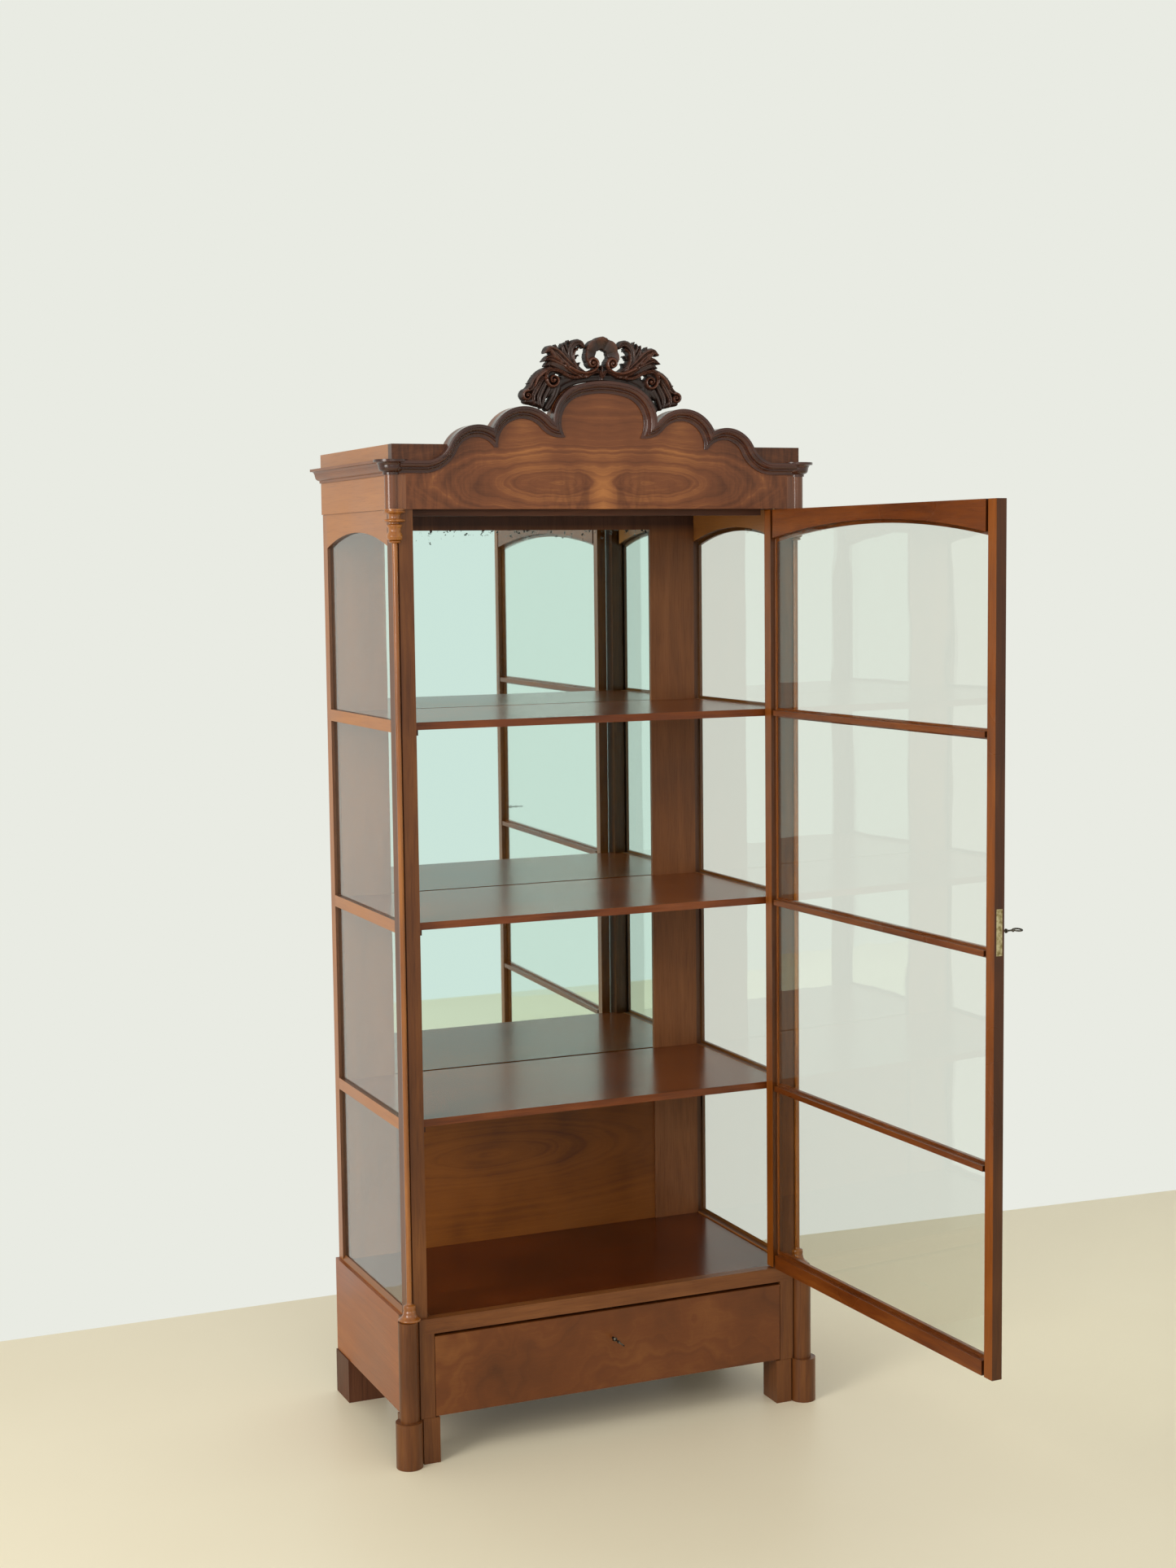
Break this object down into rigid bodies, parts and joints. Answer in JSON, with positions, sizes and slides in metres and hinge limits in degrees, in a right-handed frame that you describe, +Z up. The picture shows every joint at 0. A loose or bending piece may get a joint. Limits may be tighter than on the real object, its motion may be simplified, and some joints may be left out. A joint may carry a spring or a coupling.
{
  "type": "glazed display cabinet",
  "caption": "Tall glazed display cabinet with an arched door, turned corner columns, fixed shelves, mirrored back, lobed pediment with a carved crest, and a locking drawer in the base.",
  "frame": {"origin": "outer rear bottom corner of the left rear foot (left as seen from the front), on the floor at the back plane", "axes": "+X along the back to the cabinet's right side as seen from the front, +Y to the back (the door and drawer face -Y), +Z up; the door stands open 93 degrees at rest"},
  "size_m": [0.8897, 1.1633, 2.083],
  "materials": {
    "case_wood": "french polished mahogany",
    "turned_wood": "turned mahogany, glossy polish",
    "inner_wood": "dark secondary wood, dull",
    "polished_wood": "mahogany board, glossy polish",
    "back_wood": "mahogany back boards, satin",
    "back_panel_wood": "golden mahogany panel, satin",
    "figured_veneer": "figured mahogany veneer, french polished",
    "moulding_wood": "dark stained moulding, glossy polish",
    "carved_wood": "dark stained carving, satin",
    "door_wood": "red brown mahogany, french polished",
    "side_glass": "old drawn glass, slightly wavy",
    "door_glass": "old drawn glass, slightly wavy",
    "mirror": "old silvered mirror, worn at its edge",
    "brass": "aged brass",
    "iron": "dark worked iron"
  },
  "bodies": {
    "case": {"foot_front_left": "case_wood", "foot_front_right": "case_wood", "base_post_left": "case_wood", "base_post_right": "case_wood", "base_side_left": "case_wood", "base_side_right": "case_wood", "front_rail": "case_wood", "corner_post_left": "case_wood", "corner_post_right": "case_wood", "rear_stile_left": "case_wood", "rear_stile_right": "case_wood", "arch_rail_left": "case_wood", "arch_rail_right": "case_wood", "side_rails_left": "case_wood", "side_rails_right": "case_wood", "top_side_left": "case_wood", "top_side_right": "case_wood", "column_left": "turned_wood", "column_right": "turned_wood", "frieze_columns": "turned_wood", "rear_feet": "inner_wood", "base_back": "inner_wood", "runner_left": "inner_wood", "runner_right": "inner_wood", "mirror_back": "inner_wood", "shelf_cleats": "inner_wood", "head_board": "inner_wood", "top_back": "inner_wood", "floor_board": "polished_wood", "shelf_lower": "polished_wood", "shelf_middle": "polished_wood", "shelf_upper": "polished_wood", "back_frame": "back_wood", "lower_panel": "back_panel_wood", "pediment_board": "figured_veneer", "cornice_left": "moulding_wood", "cornice_right": "moulding_wood", "pediment_moulding": "moulding_wood", "crest": "carved_wood", "side_glass_left": "side_glass", "side_glass_right": "side_glass", "mirror_glass": "mirror"},
    "door": {"door_hinge_stile": "door_wood", "door_lock_stile": "door_wood", "door_top_rail": "door_wood", "door_bottom_rail": "door_wood", "door_bars": "door_wood", "door_glass": "door_glass", "door_pins": "brass", "door_lock": "brass", "door_lock_screws": "brass"},
    "door_bolt": {"door_bolt": "brass"},
    "door_key": {"door_key": "iron"},
    "drawer": {"drawer_front": "figured_veneer", "drawer_sides": "inner_wood", "drawer_back": "inner_wood", "drawer_bottom": "inner_wood", "drawer_lock": "iron"},
    "drawer_bolt": {"drawer_bolt": "brass"},
    "drawer_key": {"drawer_key": "iron"}
  },
  "joints": [
    {"name": "door_hinge", "type": "hinge", "parent": "case", "child": "door", "pos_m": [0.779, -0.4315, 1], "axis": [0, 0, 1], "range_deg": [-93, 25]},
    {"name": "door_key_turn", "type": "hinge", "parent": "door", "child": "door_key", "pos_m": [0.82175, -1.15175, 1.046], "axis": [-0.9986, -0.0523, 0], "range_deg": [0, 360]},
    {"name": "door_bolt_slide", "type": "slide", "parent": "door", "child": "door_bolt", "axis": [0.0523, -0.9986, 0], "range_m": [0, 0.008]},
    {"name": "drawer_slide", "type": "slide", "parent": "case", "child": "drawer", "axis": [0, -1, 0], "range_m": [0, 0.3]},
    {"name": "drawer_key_turn", "type": "hinge", "parent": "drawer", "child": "drawer_key", "pos_m": [0.418, -0.444, 0.186], "axis": [0, 1, 0], "range_deg": [0, 360]},
    {"name": "drawer_bolt_slide", "type": "slide", "parent": "drawer", "child": "drawer_bolt", "axis": [0, 0, 1], "range_m": [0, 0.012]}
  ],
  "couplings": [
    {"joint": "door_key_turn", "follows": "door_bolt_slide", "rad_per_m": 785},
    {"joint": "drawer_key_turn", "follows": "drawer_bolt_slide", "rad_per_m": 523}
  ]
}
